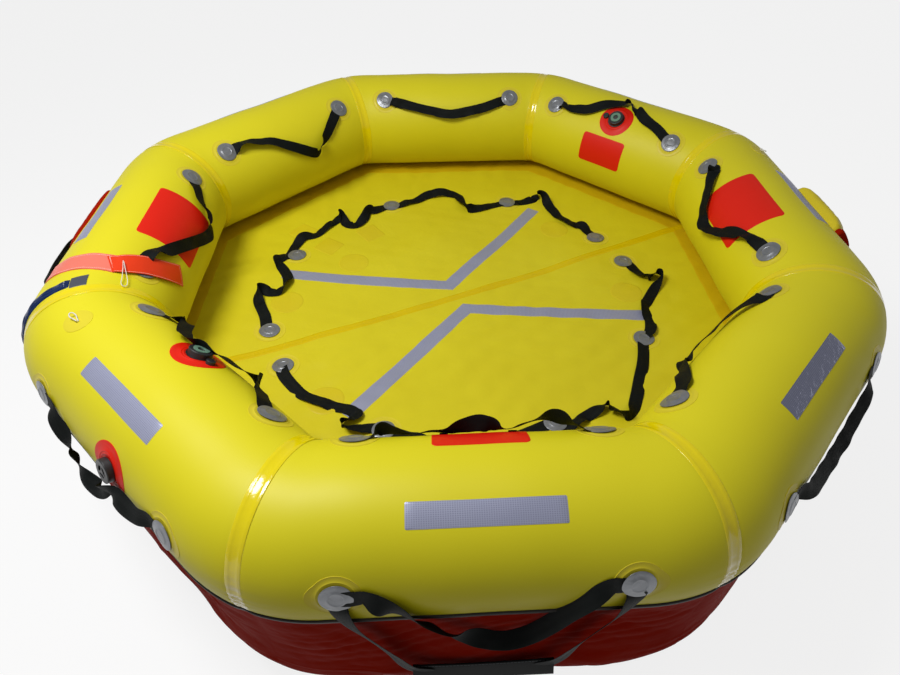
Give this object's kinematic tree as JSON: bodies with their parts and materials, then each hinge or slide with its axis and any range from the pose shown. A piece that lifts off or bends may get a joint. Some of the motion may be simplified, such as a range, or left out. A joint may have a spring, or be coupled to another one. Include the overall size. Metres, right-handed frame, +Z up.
{
  "type": "inflatable liferaft",
  "caption": "Open octagonal inflatable liferaft with a yellow upper tube, an orange lower tube, a floor between them, grab lines, lifelines, valves and reflective tapes.",
  "frame": {"origin": "on the ground under the raft's centre, in the middle of its footprint", "axes": "+Z up, -Y towards the front side with the boarding strap, +X to the right of someone who looks at the front"},
  "size_m": [2.4005, 2.4004, 0.719],
  "materials": {
    "tube_yellow": "coated fabric, satin, bright yellow",
    "seam_yellow": "coated seam tape, glossy deep yellow",
    "tube_orange": "coated fabric, satin, orange-red, wrinkled",
    "strip_black": "black rubber strip, satin",
    "floor_yellow": "thin coated fabric, yellow, wrinkled",
    "patch_yellow": "coated patch, yellow",
    "reflective_tape": "retroreflective honeycomb tape, grey",
    "disc_grey": "grey moulded disc, satin sheen",
    "webbing_black": "woven black webbing",
    "label_orange": "orange-red coated patch, bare",
    "valve_black": "black moulded valve body",
    "valve_green": "pale green moulded ring and poppet",
    "pocket_pink": "salmon pink fabric strip with a sewn window",
    "tag_orange": "orange-red fabric tag with pale edge stitching, bare",
    "cord_white": "white braided cord",
    "sleeve_navy": "navy blue coated fabric sleeve",
    "patch_grey": "grey woven patch",
    "pouch_yellow": "yellow coated fabric pouch"
  },
  "bodies": {
    "raft": {"boarding_step": "webbing_black", "boarding_strap": "webbing_black", "floor_anchor_discs": "disc_grey", "floor_anchor_patches": "patch_yellow", "floor_lifeline_back": "webbing_black", "floor_lifeline_front": "webbing_black", "floor_panel_back": "floor_yellow", "floor_panel_front": "floor_yellow", "floor_reflective_tapes": "reflective_tape", "floor_seam_tape": "seam_yellow", "floor_stiffening_patches": "patch_yellow", "front_label_tabs": "webbing_black", "inner_anchor_discs": "disc_grey", "inner_anchor_patches": "patch_yellow", "inner_grab_lines": "webbing_black", "knife_pocket": "pocket_pink", "knife_tag": "tag_orange", "knife_tie_cord": "cord_white", "label_patches": "label_orange", "lower_tube_back": "tube_orange", "lower_tube_back_left": "tube_orange", "lower_tube_back_right": "tube_orange", "lower_tube_front": "tube_orange", "lower_tube_front_left": "tube_orange", "lower_tube_front_right": "tube_orange", "lower_tube_left": "tube_orange", "lower_tube_right": "tube_orange", "mooring_line_patch": "patch_grey", "mooring_line_sleeve": "sleeve_navy", "outer_anchor_discs": "disc_grey", "outer_anchor_patches": "patch_yellow", "outer_grab_lines": "webbing_black", "relief_valve_body_back_right": "valve_black", "relief_valve_body_front_left": "valve_black", "stowage_pouch": "pouch_yellow", "stowage_pouch_flap": "label_orange", "tie_loop_front_left": "cord_white", "tie_loop_patches": "patch_yellow", "tie_loop_right": "cord_white", "topping_valve_body_back_right": "valve_black", "topping_valve_body_front_left": "valve_black", "topping_valve_caps": "valve_black", "topping_valve_seats": "valve_green", "tube_joining_skirt": "tube_orange", "tube_joining_strip": "strip_black", "tube_reflective_tapes": "reflective_tape", "upper_seam_tapes": "seam_yellow", "upper_tube_back": "tube_yellow", "upper_tube_back_left": "tube_yellow", "upper_tube_back_right": "tube_yellow", "upper_tube_front": "tube_yellow", "upper_tube_front_left": "tube_yellow", "upper_tube_front_right": "tube_yellow", "upper_tube_left": "tube_yellow", "upper_tube_right": "tube_yellow", "valve_patches": "label_orange"},
    "topping_poppet_front_left": {"topping_valve_poppet_front_left": "valve_green"},
    "topping_poppet_back_right": {"topping_valve_poppet_back_right": "valve_green"},
    "relief_poppet_front_left": {"relief_valve_poppet_front_left": "valve_black"},
    "relief_poppet_back_right": {"relief_valve_poppet_back_right": "valve_black"}
  },
  "joints": [
    {"name": "topping_poppet_front_left_slide", "type": "slide", "parent": "raft", "child": "topping_poppet_front_left", "axis": [-0.4402, -0.4402, -0.7826], "range_m": [0, 0.003], "stiffness_N_per_m": 300, "springref_m": -0.004},
    {"name": "topping_poppet_back_right_slide", "type": "slide", "parent": "raft", "child": "topping_poppet_back_right", "axis": [0.4156, 0.4156, -0.809], "range_m": [0, 0.003], "stiffness_N_per_m": 300, "springref_m": -0.004},
    {"name": "relief_poppet_front_left_slide", "type": "slide", "parent": "raft", "child": "relief_poppet_front_left", "axis": [-0.6762, -0.6762, 0.2924], "range_m": [0, 0.002], "stiffness_N_per_m": 600, "springref_m": -0.004},
    {"name": "relief_poppet_back_right_slide", "type": "slide", "parent": "raft", "child": "relief_poppet_back_right", "axis": [0.6762, 0.6762, 0.2924], "range_m": [0, 0.002], "stiffness_N_per_m": 600, "springref_m": -0.004}
  ]
}
